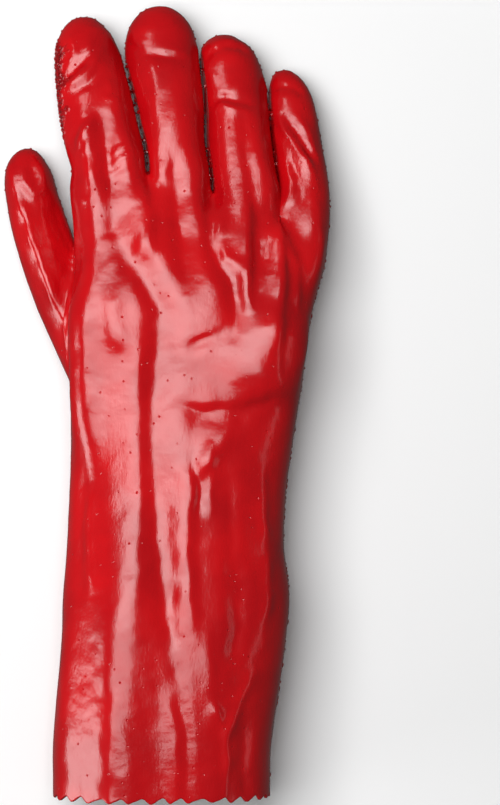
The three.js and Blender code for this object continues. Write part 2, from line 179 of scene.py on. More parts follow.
def distance_of(s, h):
    """Distance from the level s = 1, near it."""
    g = np.sqrt(sum(c * c for c in np.gradient(s, h)))
    return np.clip((s - 1) / np.maximum(g, 1e-3), -FAR, FAR)


def body_field(x, y, z, h):
    """Distance from the hand and gauntlet, whose sections are superellipses."""
    t = station(x[:, :, 0], y[:, :, 0])
    half_width = follow(SECTION_Y, HALF_WIDTH, t)[:, :, None]
    top, bottom = follow(SECTION_Y, TOP, t)[:, :, None], follow(SECTION_Y, BOTTOM, t)[:, :, None]
    u = np.abs(x - follow(SECTION_Y, MIDDLE, t)[:, :, None]) / half_width
    v = np.abs(z - (top + bottom) / 2) / ((top - bottom) / 2)
    end = np.maximum(t - (WEB_Y - WEB_ROUND), 0)[:, :, None] / WEB_ROUND
    square = follow(SECTION_Y, SQUARE, t)[:, :, None]
    r = (u**square + v**square) ** (1 / square)
    return distance_of((r**3 + end**3) ** (1 / 3), h)


class Digit:
    """A finger or the thumb: a bent tube round its middle line, with a round tip."""

    def __init__(self, name, length, width, across, start, rows):
        self.name, self.length, self.width = name, length, width
        self.along, self.side, self.rise, self.girth, self.thick = (list(c) for c in zip(*rows))
        self.x = HAND_DRIFT + across * KNUCKLES[0]
        self.y = WEB_Y + (start * HAND_LENGTH if start else -WEB_SLANT * across * KNUCKLES[0])

    def middle(self, t):
        return np.stack([
            self.x + follow(self.along, self.side, t) * self.length,
            self.y + t * self.length,
            follow(self.along, self.rise, t) * FINGER_THICKNESS,
        ], -1)

    def local(self, p):
        """Place along the digit, and shares of its half width and half thickness, of plan points."""
        t = np.clip((p[..., 1] - self.y) / self.length, self.along[0], 1)
        for _ in range(3):
            tangent = (self.middle(t + 0.01) - self.middle(t - 0.01)) / 0.02
            t = t + ((p - self.middle(t)) * tangent).sum(-1) / (tangent**2).sum(-1)
            t = np.clip(t, self.along[0] - 0.2, 1.2)
        tangent = self.middle(t + 0.01) - self.middle(t - 0.01)
        tangent /= np.linalg.norm(tangent, axis=-1, keepdims=True)
        across = np.cross(tangent, [0, 0, 1])
        across /= np.linalg.norm(across, axis=-1, keepdims=True)
        off = p - self.middle(np.clip(t, self.along[0], 1))
        u = (off * across).sum(-1) / (follow(self.along, self.girth, t) * self.width / 2)
        v = (off * np.cross(across, tangent)).sum(-1) / (follow(self.along, self.thick, t) * FINGER_THICKNESS / 2)
        return t, u, v

    def field(self, p, h):
        """Distance from the digit, with its lower half widened on the sides that face other fingers."""
        t, u, v = self.local(p)
        beside = smooth(u, 0, 0.5) * (self.name in ("index", "middle", "ring"))
        beside += smooth(-u, 0, 0.5) * (self.name in ("middle", "ring", "little"))
        u = u * (1 - SIDE_SWELL * beside * smooth(-v, -0.5, 0.2) * (1 - smooth(t, 0.62, 0.86)))
        round_ = TIP_ROUND / self.length
        tip = np.maximum(t - (1 - round_), 0) / round_
        root = np.maximum(self.along[0] - t, 0) * self.length / ROOT_ROUND
        r = (np.abs(u) ** DIGIT_SQUARE + np.abs(v) ** DIGIT_SQUARE) ** (1 / DIGIT_SQUARE)
        return distance_of(np.sqrt(r**2 + tip**2 + root**2), h)


digits = [Digit(*d) for d in DIGITS]


def melt(a, b, k):
    """The lower of two fields, with the corner between them filled to a round one."""
    h = np.clip(0.5 + 0.5 * (b - a) / k, 0, 1)
    return b * (1 - h) + a * h - k * h * (1 - h)


def glove_field(h):
    """Distance from the outer face of the glove on a grid of spacing h, and the grid's corner."""
    low = np.array(GRID_LOW)
    axes = [np.arange(low[i], GRID_HIGH[i] + h, h) for i in range(3)]
    x, y, z = np.meshgrid(*axes, indexing="ij")
    field = body_field(x, y, z, h)
    fingers = np.full_like(field, FAR)
    second, thumb = fingers.copy(), fingers.copy()
    for d in digits:
        axis = d.middle(np.linspace(d.along[0], 1, 20))
        near = []
        for i in range(3):
            a = np.searchsorted(axes[i], axis[:, i].min() - d.width)
            b = np.searchsorted(axes[i], axis[:, i].max() + d.width)
            near.append(slice(max(a, 0), b))
        near = tuple(near)
        part = d.field(np.stack([x[near], y[near], z[near]], -1), h)
        if d.name == "thumb":
            thumb[near] = part
            continue
        second[near] = np.minimum(second[near], np.maximum(fingers[near], part))
        fingers[near] = np.minimum(fingers[near], part)
    fingers = np.maximum(fingers, FINGER_GAP - (second - fingers) / 2)
    field = melt(field, fingers, WEB_FILLET)
    field = melt(field, thumb, THUMB_FILLET)
    return -melt(-field, -(FLOOR_GAP - z), FLOOR_FILLET), low


def surface(field, low, h):
    """Quads over the zero level of a field, one point to each cell that the level crosses."""
    inside = field < 0
    n = np.array(field.shape) - 1
    count = sum(
        inside[i : n[0] + i, j : n[1] + j, k : n[2] + k].astype(np.int8) for i in (0, 1) for j in (0, 1) for k in (0, 1)
    )
    cells = np.argwhere((count > 0) & (count < 8))
    index = -np.ones(n, int)
    index[tuple(cells.T)] = np.arange(len(cells))
    total, hits = np.zeros((len(cells), 3)), np.zeros(len(cells))
    for axis in range(3):
        for j in (0, 1):
            for k in (0, 1):
                a = np.zeros(3, int)
                a[(axis + 1) % 3], a[(axis + 2) % 3] = j, k
                b = a.copy()
                b[axis] = 1
                fa, fb = field[tuple((cells + a).T)], field[tuple((cells + b).T)]
                cross = (fa < 0) != (fb < 0)
                share = np.where(cross, fa / np.where(cross, fa - fb, 1), 0)
                total += np.where(cross[:, None], a + share[:, None] * (b - a), 0)
                hits += cross
    points = (cells + total / hits[:, None]) * h + low
    quads = []
    for axis in range(3):
        b, c = (axis + 1) % 3, (axis + 2) % 3
        start, stop = [0, 0, 0], list(n)
        start[b] = start[c] = 1
        here = tuple(slice(start[i], stop[i]) for i in range(3))
        there = tuple(slice(start[i] + (i == axis), stop[i] + (i == axis)) for i in range(3))
        p = np.argwhere(inside[here] != inside[there]) + start
        eb, ec = np.eye(3, dtype=int)[b], np.eye(3, dtype=int)[c]
        q = np.stack([index[tuple((p - o).T)] for o in (eb + ec, ec, 0 * eb, eb)], 1)
        out = inside[tuple(p.T)]
        quads.append(np.where(out[:, None], q, q[:, ::-1]))
    return points, np.concatenate(quads), cells[:, 1] == 0


def sample(grid, low, h, p):
    """Trilinear value of a grid at points."""
    g = np.clip((p - low) / h, 0, np.array(grid.shape[:3]) - 1.001)
    i = g.astype(int)
    f = g - i
    out = 0
    for a in (0, 1):
        for b in (0, 1):
            for c in (0, 1):
                w = (f[:, 0] if a else 1 - f[:, 0]) * (f[:, 1] if b else 1 - f[:, 1]) * (f[:, 2] if c else 1 - f[:, 2])
                value = grid[i[:, 0] + a, i[:, 1] + b, i[:, 2] + c]
                out = out + (w[:, None] * value if value.ndim == 2 else w * value)
    return out


def skin(level, h):
    """Points, quads, outward normals and the open rim of the glove's skin at a distance from its outer face."""
    field, low = glove_field(h)
    slope = np.stack(np.gradient(field, h), -1)
    points, quads, rim = surface(field - level, low, h)
    edges = np.concatenate([quads[:, [i, (i + 1) % 4]] for i in range(4)])
    degree = np.bincount(edges.ravel(), minlength=len(points))[:, None]
    for _ in range(5):
        around = np.stack([
            np.bincount(edges[:, 0], points[edges[:, 1], i], len(points))
            + np.bincount(edges[:, 1], points[edges[:, 0], i], len(points))
            for i in range(3)
        ], 1) / np.maximum(degree, 1)
        points = np.where(rim[:, None], points, points * 0.5 + around * 0.5)
        g = sample(slope, low, h, points)
        away = sample(field, low, h, points) - level
        points = points - g * (away / np.maximum((g**2).sum(1), 0.05))[:, None]
        points[rim, 1] = CUFF_BAND + h / 2
    g = sample(slope, low, h, points)
    return points, quads, g / np.linalg.norm(g, axis=1, keepdims=True), np.flatnonzero(rim)


CUFF_PLACE = (162, 800.5)  # where the middle of the cuff's edge is in the picture, in pixels


def px(*xy):
    """Plan points from places in the picture, given in pixels as x, y, x, y and so on."""
    return [((x - CUFF_PLACE[0]) * PICTURE_MM, (CUFF_PLACE[1] - y) * PICTURE_MM) for x, y in zip(xy[::2], xy[1::2])]


# Folds of the back. Each has its name, half width, height (negative for a valley), lean (above nought the right or
# upper flank is the steeper), crispness (2 is soft, 1 has an edge) and the line it follows.
FOLDS = {
    # The shoulder along the thumb side, and the broad swell towards the little finger.
    "thumb_side_shoulder": (7.0, 2.0, 0.0, 2.4, px(86, 262, 83, 320, 83, 400, 86, 440)),
    "thumb_side_shoulder_long": (7.0, 1.6, 0.0, 2.4, px(86, 262, 83, 320, 83, 400, 87, 476)),
    "little_finger_swell": (14.0, 4.4, 0.3, 2.2, px(288, 318, 280, 356, 260, 402)),
    "index_edge_swell": (6.0, 0.6, 0.0, 2.0, px(91, 214, 93, 262, 97, 300, 102, 350)),
    "swell_left_of_valley": (5.0, 1.4, 0.0, 2.0, px(111, 292, 115, 320, 120, 354)),
    # The long valley from the index knuckle down the back to the gauntlet, and the ridges on each side of it.
    "valley_upper": (
        6.4, -2.4, -0.3, 1.9,
        px(108, 146, 112, 190, 116, 236, 128, 264, 148, 290, 161, 316, 160, 350, 156, 400, 154, 440)
    ),
    "valley_lower": (6.0, -2.0, -0.4, 1.9, px(154, 426, 157, 480, 159, 540, 163, 590, 170, 640)),
    "ridge_left_of_valley": (5.0, 0.6, 0.8, 2.0, px(139, 335, 141, 400, 140, 450, 139, 520, 141, 570, 140, 612)),
    "ridge_right_of_valley": (4.8, 1.5, 0.6, 2.0, px(230, 426, 221, 450, 194, 480, 188, 540, 190, 600, 194, 640)),
    # Knuckles, and the webs between them.
    "index_outer_ridge": (4.0, 2.0, 0.0, 2.0, px(86, 116, 90, 160, 93, 200)),
    "index_groove": (5.0, -1.6, -0.4, 1.9, px(104, 116, 108, 160, 112, 200)),
    "index_knuckle": (5.2, 2.0, 0.5, 2.0, px(136, 180, 146, 215, 149, 262)),
    "middle_knuckle_hollow": (7.0, -2.9, -0.5, 1.9, px(172, 140, 175, 180, 180, 225, 186, 262, 189, 294)),
    "middle_knuckle": (4.4, 0.7, 0.6, 1.9, px(194, 120, 200, 180, 204, 220, 204, 262)),
    "ring_web_hollow": (5.0, -2.4, -0.2, 1.8, px(209, 186, 212, 240, 218, 264, 233, 290, 237, 320, 236, 346)),
    "ring_web_crease": (2.6, 1.0, 0.2, 2.0, px(222, 210, 220, 244, 227, 262, 243, 274)),
    "ring_knuckle": (3.2, 1.7, 0.5, 1.8, px(246, 196, 249, 232, 248, 280, 250, 318)),
    "ring_hollow": (5.0, -1.7, -0.1, 1.9, px(242, 100, 247, 150, 255, 190, 260, 225, 260, 262, 257, 304)),
    "little_finger_root": (5.4, 4.2, 0.2, 1.9, px(256, 140, 268, 190, 277, 225, 283, 262, 282, 305, 273, 350)),
    "little_knuckle_hollow": (3.4, -1.8, -0.5, 1.7, px(285, 232, 288, 275, 284, 330, 280, 380)),
    "little_knuckle_crease": (2.2, 1.1, 0.3, 1.7, px(285, 240, 296, 270, 297, 320)),
    "little_outer_ridge": (3.6, 1.3, 0.6, 1.9, px(314, 196, 320, 240, 313, 296)),
    # Creases across the back of the hand and the wrist.
    "crease_under_knuckles": (3.2, -0.9, 0.8, 1.9, px(186, 351, 200, 346, 216, 341, 230, 333)),
    "wrist_crease": (5.0, -1.6, 0.8, 2.0, px(178, 411, 202, 417, 232, 414, 262, 409, 290, 399)),
    "wrist_dent": (2.2, -1.1, 0.2, 1.7, px(193, 456, 199, 486, 200, 520)),
    "wrist_dent_rim": (2.4, 0.6, 0.5, 1.9, px(210, 446, 213, 480, 212, 518)),
    "gauntlet_middle_groove": (3.6, -0.7, 0.0, 2.0, px(228, 470, 232, 540, 230, 620)),
    # Folds of the gauntlet.
    "gauntlet_ridge": (12.6, 4.8, 0.0, 2.0, px(128, 530, 125, 600, 121, 660, 118, 730, 117, 900)),
    "gauntlet_ridge_crest": (2.7, 0.4, 0.0, 1.8, px(121, 690, 118, 740, 117, 900)),
    "gauntlet_valley": (3.2, -0.55, 0.3, 2.0, px(168, 590, 180, 680, 187, 740, 189, 860)),
    "gauntlet_left_edge": (6.0, 1.2, 0.0, 2.0, px(66, 620, 64, 700, 64, 760, 64, 860)),
    "gauntlet_left_dent": (3.4, -1.0, 0.0, 1.8, px(84, 455, 84, 520, 80, 600)),
    "gauntlet_left_crease": (2.6, 1.0, 0.4, 1.8, px(92, 490, 91, 540, 96, 590)),
    "gauntlet_middle_ridge": (3.0, 0.5, 0.3, 1.8, px(172, 690, 178, 740, 178, 798)),
    "gauntlet_right_ridge": (3.0, 0.45, 0.2, 1.9, px(206, 622, 211, 670, 214, 720, 216, 800)),
    "gauntlet_side_ridge": (2.8, 1.2, 0.2, 1.7, px(262, 470, 265, 540, 267, 600, 262, 650)),
    "gauntlet_slant_ridge": (2.4, 1.2, 0.2, 1.6, px(254, 672, 240, 700, 228, 735, 226, 798)),
    "gauntlet_fork": (2.0, 0.8, 0.0, 1.6, px(214, 702, 221, 722, 228, 738)),
    "gauntlet_side_hollow": (4.0, -1.4, 0.0, 1.9, px(240, 560, 238, 630, 232, 672)),
    "gauntlet_hem_hollow": (3.4, -1.0, 0.0, 1.9, px(248, 715, 244, 755, 246, 800)),
    # Index finger.
    "index_inner_ridge": (5.0, 1.4, 0.5, 2.0, px(112, 86, 119, 120, 128, 155, 134, 186)),
    "index_joint_fold": (2.4, 1.7, 0.5, 1.4, px(57, 101, 74, 86, 90, 71, 101, 53)),
    "index_joint_hollow": (2.4, -1.3, 0.0, 1.7, px(62, 86, 76, 71, 88, 60)),
    "index_joint_hollow_below": (2.0, -0.8, 0.0, 1.7, px(70, 100, 88, 88, 100, 72)),
    "index_tip_bump": (3.2, 0.7, 0.0, 2.0, px(84, 47, 93, 50)),
    "index_tip_crease": (1.5, 0.8, 0.3, 1.5, px(69, 38, 75, 60)),
    "index_wrinkle_1": (1.6, 1.0, 0.4, 1.5, px(76, 157, 85, 139, 98, 120)),
    "index_wrinkle_2": (1.4, -0.6, 0.0, 1.6, px(72, 146, 82, 128, 94, 114)),
    "index_wrinkle_3": (1.3, 0.6, 0.3, 1.5, px(84, 162, 93, 144)),
    "index_inner_wrinkle_1": (1.3, 0.8, 0.3, 1.4, px(110, 161, 121, 152, 132, 148)),
    "index_inner_wrinkle_2": (1.3, 0.8, 0.3, 1.4, px(109, 173, 120, 163, 131, 158)),
    "index_inner_wrinkle_3": (1.3, 0.7, 0.3, 1.4, px(108, 182, 118, 174, 128, 169)),
    "index_dash_1": (1.4, 0.6, 0.2, 1.6, px(104, 100, 119, 105)),
    "index_dash_2": (1.4, 0.6, 0.2, 1.6, px(109, 82, 110, 96)),
    "index_dash_3": (1.3, 0.5, 0.2, 1.6, px(79, 204, 94, 207)),
    # Middle finger.
    "middle_joint_hollow": (2.3, -1.3, 0.3, 1.6, px(124, 42, 142, 54, 166, 60, 194, 62)),
    "middle_joint_fold": (1.8, 0.9, 0.2, 1.6, px(131, 24, 135, 42, 146, 53)),
    "middle_back_ridge": (3.0, 0.5, 0.0, 2.0, px(149, 54, 154, 75, 157, 98, 154, 124)),
    "middle_joint_crease": (1.6, 0.7, 0.3, 1.5, px(172, 54, 184, 57, 192, 63)),
    # Ring finger.
    "ring_tip_hollow": (2.0, -1.2, 0.3, 1.5, px(202, 66, 209, 53, 224, 46, 240, 49, 250, 58)),
    "ring_tip_fold": (1.6, 0.8, 0.0, 1.6, px(208, 50, 222, 41, 240, 43)),
    "ring_outer_ridge": (1.8, 0.9, 0.2, 1.7, px(206, 62, 212, 78, 216, 96)),
    "ring_joint_hollow": (2.2, -1.4, 0.3, 1.5, px(212, 106, 224, 101, 242, 105, 262, 110)),
    "ring_joint_fold": (2.0, 1.1, 0.4, 1.5, px(213, 118, 221, 108, 240, 113, 260, 118)),
    # Little finger.
    "little_joint_hollow": (2.0, -1.1, 0.3, 1.5, px(266, 94, 280, 88, 296, 90, 309, 100)),
    "little_slant_fold_1": (2.2, 1.7, 0.5, 1.4, px(275, 116, 290, 138, 305, 162, 319, 192)),
    "little_slant_hollow": (2.0, -1.3, 0.0, 1.6, px(284, 116, 300, 138, 315, 166)),
    "little_slant_fold_2": (1.6, 0.9, 0.3, 1.5, px(297, 112, 309, 136, 318, 164)),
    "little_root_fold": (2.2, 1.4, 0.4, 1.5, px(274, 134, 286, 158, 292, 185, 290, 206, 280, 230)),
    "little_root_hollow": (1.8, -1.0, 0.0, 1.6, px(284, 152, 298, 182, 300, 206)),
    # Thumb.
    "thumb_ridge": (3.0, 2.8, 0.5, 1.5, px(10, 168, 18, 202, 27, 226, 37, 256, 52, 296, 68, 338)),
    "thumb_hollow": (7.0, -2.6, 0.0, 2.0, px(50, 196, 60, 238, 70, 266, 80, 304)),
    "thumb_tip_loop": (1.6, 1.1, 0.3, 1.5, px(22, 168, 24, 184, 34, 196, 43, 192, 40, 174, 30, 158)),
    "thumb_tip_hollow": (1.8, -0.8, 0.0, 1.7, px(31, 168, 36, 184)),
}


# How far the folds' lines wander to the side, and how uneven their height is: amount, pitch and seed.
WANDER = ((0.35, 19, 11), (0.14, 7, 13))
UNEVEN = (0.22, 15, 15)
EVEN_WIDTH = 3.2  # wider folds than this are less uneven
RUN_ON = 99


def fold_relief(p):
    """Height of the folds on the back at plan points, each line wandering a little."""
    spot = p[:, :2].copy()
    for amount, pitch, seed in WANDER:
        spot += amount * np.stack([waves(p, pitch, seed), waves(p, pitch, seed + 1)], 1)
    uneven = UNEVEN[0] * waves(p, *UNEVEN[1:])
    total = np.zeros(len(p))
    for wide, high, lean, crisp, line in FOLDS.values():
        line = np.array(line)
        low, up = line.min(0) - 4 * wide, line.max(0) + 4 * wide
        near = np.flatnonzero(((spot > low) & (spot < up)).all(1))
        if not len(near):
            continue
        q = spot[near]
        steps = np.linalg.norm(np.diff(line, axis=0), axis=1)
        run = np.concatenate([[0], np.cumsum(steps)])
        best, where, side = np.full(len(q), 1e9), np.zeros(len(q)), np.zeros(len(q))
        for i, (a, b) in enumerate(zip(line[:-1], line[1:])):
            way = (b - a) / steps[i]
            free = (q - a) @ way
            t = np.clip(free, 0, steps[i])
            off = q - a - t[:, None] * way
            gap = np.linalg.norm(off, axis=1)
            closer = gap < best
            # The line's two ends run on straight, so that a fold fades out evenly.
            past = np.clip(free, -RUN_ON if i == 0 else 0, RUN_ON if i == len(steps) - 1 else steps[i])
            best, where = np.where(closer, gap, best), np.where(closer, run[i] + past, where)
            side = np.where(closer, np.sign(way[0] * off[:, 1] - way[1] * off[:, 0]), side)
        fade = min(0.3 * run[-1], 10 + 8 * abs(high))
        ends = smooth(where, -0.5 * fade, fade) * smooth(run[-1] - where, -0.5 * fade, fade)
        flank = wide * (1 - 0.5 * lean * side)
        even = 1 + uneven[near] * min(1, (EVEN_WIDTH / wide) ** 2)
        total[near] += high * ends * even * np.exp(-((np.sqrt(best**2 + 0.16) / flank) ** crisp))
    return total


def waves(p, pitch, seed, stretch=(1, 1, 1)):
    """Smooth random waviness of about one, from a sum of slanted sine waves."""
    rng = np.random.default_rng(seed)
    total = np.zeros(len(p))
    for _ in range(9):
        way = rng.normal(size=3)
        way *= rng.uniform(0.6, 1.4) / np.linalg.norm(way)
        total += np.sin((p * stretch) @ way * 2 * math.pi / pitch + rng.uniform(0, 6.28))
    return total / 3


# The loose waviness of the skin: amount, pitch, seed and stretch.
LOOSE = ((0.15, 30, 3, (1, 0.35, 1)), (0.05, 10, 5, (1, 0.7, 1)), (0.018, 4.5, 6, (1, 1, 1)))


def relief(p, normal):
    """How far the skin stands off its round form: folds on the back, and loose waviness all over."""
    back = smooth(normal[:, 2], 0.02, 0.6)
    loose = sum(amount * waves(p, *wave) for amount, *wave in LOOSE)
    under = smooth(-normal[:, 2], 0.3, 0.8)
    return back * fold_relief(p) + loose * (1 - under)


# Where along the glove the rough finish starts and stops coming round, and where the bare strip runs out.
INDEX_FROM, INDEX_TO, TIPS_FROM = (284, 300), (328, 338), (306, 318)
THUMB_FROM, THUMB_TO = (170, 185), (245, 260)
STRIP_NARROWS, STRIP_ENDS = (138, 205), (200, 212)


def palm_share(p, normal):
    """One on the rough palm side and nought on the smooth back, with an uneven edge between them.

    The rough finish comes further round the thumb side of the index finger and the fingertips, less far round the
    thumb, and leaves a smooth strip under the gauntlet that runs out at the root of the thumb.
    """
    x, y = p[:, 0], p[:, 1]
    left = smooth(-normal[:, 0], 0.0, 0.5)
    index_side = 0.72 * left * smooth(y, *INDEX_FROM) * (1 - smooth(y, *INDEX_TO)) * smooth(-x, 28, 38)
    tips = 0.12 * left * smooth(y, *TIPS_FROM)
    thumb_side = 0.5 * left * smooth(-x, 44, 52) * smooth(y, *THUMB_FROM) * (1 - smooth(y, *THUMB_TO))
    turn = -normal[:, 2] + index_side + tips - thumb_side + 0.1 * waves(p, 13, 21) + 0.07 * waves(p, 4, 22)
    strip_width = BARE_STRIP * (1 - 1.3 * smooth(y, *STRIP_NARROWS))
    strip_edge = follow(SECTION_Y, MIDDLE, y) - follow(SECTION_Y, HALF_WIDTH, y) + strip_width
    strip = smooth(x - strip_edge + 1.2 * waves(p, 9, 23), -1.2, 1.2)
    return smooth(turn, 0.03, 0.2) * np.maximum(strip, smooth(y, *STRIP_ENDS))


# The skin of the glove, with its cuff band.
def loop_of(points, rim):
    """The rim's points in order round the cuff, and their angles."""
    c = points[rim].mean(0)
    angle = np.arctan2(points[rim, 2] - c[2], points[rim, 0] - c[0])
    order = np.argsort(angle)
    return rim[order], angle[order]


def zip_loops(a, angle_a, b, angle_b):
    """Triangles between two closed loops that are both in order of angle."""
    faces, i, j = [], 0, 0
    na, nb = len(a), len(b)
    while i < na or j < nb:
        next_a = angle_a[i + 1] if i + 1 < na else angle_a[0] + 2 * math.pi + (i - na + 1) * 9
        next_b = angle_b[j + 1] if j + 1 < nb else angle_b[0] + 2 * math.pi + (j - nb + 1) * 9
        if j >= nb or (i < na and next_a <= next_b):
            faces.append((a[i % na], a[(i + 1) % na], b[j % nb]))
            i += 1
        else:
            faces.append((a[i % na], b[(j + 1) % nb], b[j % nb]))
            j += 1
    return faces


outer, outer_quads, outer_normal, outer_rim = skin(0.0, STEP)
inner, inner_quads, inner_normal, inner_rim = skin(-WALL, INNER_STEP)
outer_loop, outer_angle = loop_of(outer, outer_rim)
inner_loop, inner_angle = loop_of(inner, inner_rim)

# The cuff's outline, evenly divided.
line = outer[outer_loop][:, [0, 2]]
line = np.concatenate([line, line[:1]])
run = np.concatenate([[0], np.cumsum(np.linalg.norm(np.diff(line, axis=0), axis=1))])
walk = np.arange(CUFF_SIDES) * run[-1] / CUFF_SIDES
outline = np.stack([np.interp(walk, run, line[:, i]) for i in (0, 1)], 1)
for _ in range(6):
    outline = outline * 0.5 + (np.roll(outline, 1, 0) + np.roll(outline, -1, 0)) * 0.25
along = np.roll(outline, -1, 0) - np.roll(outline, 1, 0)
away = np.stack([along[:, 1], -along[:, 0]], 1)
away /= np.linalg.norm(away, axis=1, keepdims=True)
teeth = round(run[-1] / SCALLOP_PITCH)
# Teeth of uneven width and height.
turn = 2 * math.pi * teeth * walk / run[-1]
turn = turn + 0.5 * np.sin(5 * turn / teeth + 1) + 0.4 * np.sin(11 * turn / teeth)
tall = SCALLOP_DEPTH * (1 + 0.18 * np.sin(7 * turn / teeth) + 0.12 * np.sin(17 * turn / teeth + 2))
edge = EDGE_MIDDLE - 0.5 * tall * np.cos(turn) - 0.22 * np.sin(2 * turn)

# Rings of the band: share of the way from its top down to the edge, and depth into the wall.
top_of_band = CUFF_BAND + STEP / 2
rows = [(share, 0.0) for share in (0.12, 0.3, 0.48, 0.64, 0.78, 0.9, 0.97)]
rows += [(1.0, EDGE_ROUND), (1.0, WALL - EDGE_ROUND)]
rows += [(share, WALL) for share in (0.95, 0.7, 0.35)]
inside_ring = len(rows) - 4
band, band_normal = [], []
for share, depth in rows:
    xz = outline - away * depth
    band.append(np.stack([xz[:, 0], top_of_band + (edge - top_of_band) * share, xz[:, 1]], 1))
    band_normal.append(np.stack([away[:, 0], 0 * walk, away[:, 1]], 1))
band_angle = np.arctan2(outline[:, 1] - outer[outer_rim, 2].mean(), outline[:, 0] - outer[outer_rim, 0].mean())
ring_order = np.roll(np.arange(CUFF_SIDES), -np.argmin(band_angle))
band_start = len(outer) + len(inner)
rings = [band_start + r * CUFF_SIDES + ring_order for r in range(len(rows))]

points = np.concatenate([outer, inner, *band])
normals = np.concatenate([outer_normal, inner_normal, *band_normal])
palm = palm_share(points, normals)
palm[len(outer) : len(outer) + len(inner)] = 0
palm[band_start + inside_ring * CUFF_SIDES :] = 0
points = points + normals * relief(points, normals)[:, None]
points[:, 2] = np.maximum(points[:, 2], FLOOR_GAP)


def ring_faces(first, last):
    """Quads between the band's rings, from one ring to another."""
    return [
        (a[i], b[i], b[i - 1], a[i - 1])
        for a, b in zip(rings[first:last], rings[first + 1 : last + 1])
        for i in range(CUFF_SIDES)
    ]


# Outer skin, then all that is cloth, then the band's outer face and edge.
faces = [tuple(q) for q in outer_quads.tolist()]
inside_from = len(faces)
faces += [tuple(q[::-1]) for q in (inner_quads + len(outer)).tolist()]
faces += [f[::-1] for f in zip_loops(inner_loop + len(outer), inner_angle, rings[-1], band_angle[ring_order])]
faces += ring_faces(inside_ring, len(rows) - 1)
inside_to = len(faces)
faces += zip_loops(outer_loop, outer_angle, rings[0], band_angle[ring_order])
faces += ring_faces(0, inside_ring)

# The skin's middle is put over the CAD box's, and its fingertip at the box's far end.
plan_low, plan_high = points.min(0), points.max(0)
shift = np.array([
    (CAD_LOW[0] + CAD_HIGH[0]) / 2 / MM - (plan_low[0] + plan_high[0]) / 2,
    CAD_HIGH[1] / MM - plan_high[1],
    0.0,
])



def place(name, data):
    """A new object that holds some data, put in the scene."""
    obj = bpy.data.objects.new(name, data)
    bpy.context.scene.collection.objects.link(obj)
    return obj


skin_mesh = bpy.data.meshes.new("glove_skin")
skin_mesh.from_pydata(((points + shift) * MM).tolist(), [], [tuple(int(i) for i in f) for f in faces])
skin_mesh.validate()
skin_mesh.shade_smooth()
glove = place("glove_skin", skin_mesh)


BACK_RED, BACK_DEEP = (0.58, 0.003, 0.006), (0.46, 0.002, 0.005)
PALM_RED, PALM_DEEP = (0.34, 0.001, 0.004), (0.2, 0.001, 0.002)
CLOTH, CLOTH_SHADE = (0.66, 0.6, 0.5), (0.5, 0.45, 0.36)
BLACK, WHITE = (0, 0, 0), (1, 1, 1)
COAT_ROUGHNESS, CHIP_ROUGHNESS, CLOTH_ROUGHNESS = 0.19, 0.2, 0.95
PVC_IOR = 1.5
# Patterns of the finish in millimetres: the size of a feature, then how deep it is pressed.
KNIT, KNIT_DEPTH = 0.9, 0.05
RIPPLE, RIPPLE_DEPTH = 2.4, 0.045
SWELL, SWELL_DEPTH = 5, 0.10
PIT_SPACING, PIT_DEPTH = 5.2, 0.25
GRAIN, GRAIN_DEPTH = 2.1, 1.9
WEAVE, WEAVE_DEPTH = 1.2, 0.25
BACK_CLOUD, PALM_CLOUD = 28, 3


def principled(name):
    """A new material, its node tree and its shader."""
    material = bpy.data.materials.new(name)
    material.use_nodes = True
    return material, material.node_tree, material.node_tree.nodes["Principled BSDF"]


def noise(tree, here, size, detail=2.0, stretch=(1, 1, 1)):
    """A noise node on object coordinates, in millimetres to a feature, stretched along the axes."""
    mapping = tree.nodes.new("ShaderNodeMapping")
    mapping.inputs["Scale"].default_value = [1 / (size * MM * s) for s in stretch]
    tree.links.new(here, mapping.inputs["Vector"])
    node = tree.nodes.new("ShaderNodeTexNoise")
    node.inputs["Scale"].default_value = 1.0
    node.inputs["Detail"].default_value = detail
    tree.links.new(mapping.outputs["Vector"], node.inputs["Vector"])
    return node.outputs["Fac"]


def ramp(tree, value, *stops):
    """A colour ramp over a value: stops are (position, colour)."""
    node = tree.nodes.new("ShaderNodeValToRGB")
    while len(node.color_ramp.elements) < len(stops):
        node.color_ramp.elements.new(0.5)
    for element, (position, colour) in zip(node.color_ramp.elements, stops):
        element.position = position
        element.color = (*colour, 1)
    tree.links.new(value, node.inputs["Fac"])
    return node.outputs["Color"]


def mix(tree, share, a, b):
    """A colour that goes from a to b as the share goes from nought to one."""
    node = tree.nodes.new("ShaderNodeMix")
    node.data_type = "RGBA"
    tree.links.new(share, node.inputs["Factor"])
    tree.links.new(a, node.inputs["A"])
    tree.links.new(b, node.inputs["B"])
    return node.outputs["Result"]


def bump(tree, height, depth, before=None):
    """A bump of a depth in millimetres, laid over the one before."""
    node = tree.nodes.new("ShaderNodeBump")
    node.inputs["Distance"].default_value = depth * MM
    node.inputs["Strength"].default_value = 1.0
    tree.links.new(height, node.inputs["Height"])
    if before is not None:
        tree.links.new(before, node.inputs["Normal"])
    return node.outputs["Normal"]


